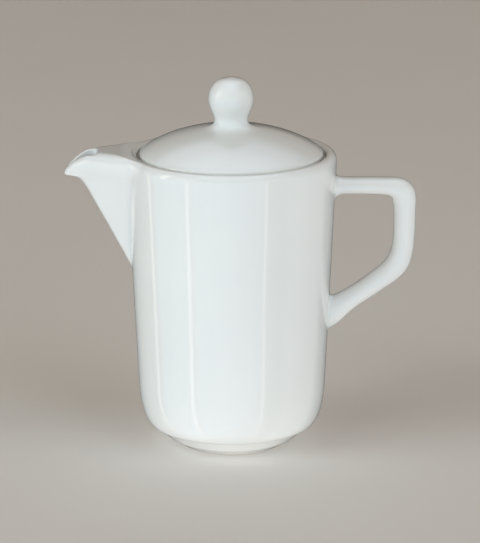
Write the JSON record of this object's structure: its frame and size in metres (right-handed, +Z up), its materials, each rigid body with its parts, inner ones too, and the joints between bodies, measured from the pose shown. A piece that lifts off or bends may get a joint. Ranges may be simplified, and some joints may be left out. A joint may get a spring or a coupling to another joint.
{
  "type": "milk jug",
  "caption": "Small lidded milk jug in white glazed porcelain: tapered pot on a recessed foot ring, covered wedge spout, loop handle, loose domed lid with a knob.",
  "frame": {"origin": "centre of the foot ring's standing face, on the surface the jug stands on", "axes": "+Z up along the pot's axis, +X towards the handle, -X towards the spout"},
  "size_m": [0.151, 0.09, 0.1613],
  "materials": {
    "glaze": "gloss glaze, cool white",
    "lid_glaze": "gloss glaze, cool white",
    "bare_clay": "unglazed, fine matt"
  },
  "bodies": {
    "jug": {"jug_body": "glaze", "foot_ring": "glaze", "spout": "glaze", "handle": "glaze"},
    "lid": {"lid_cap": "lid_glaze", "lid_flange": "bare_clay", "lid_knob": "lid_glaze"}
  },
  "joints": [
    {"name": "lid_lift", "type": "slide", "parent": "jug", "child": "lid", "axis": [0, 0, 1], "range_m": [0, 0.045]}
  ]
}
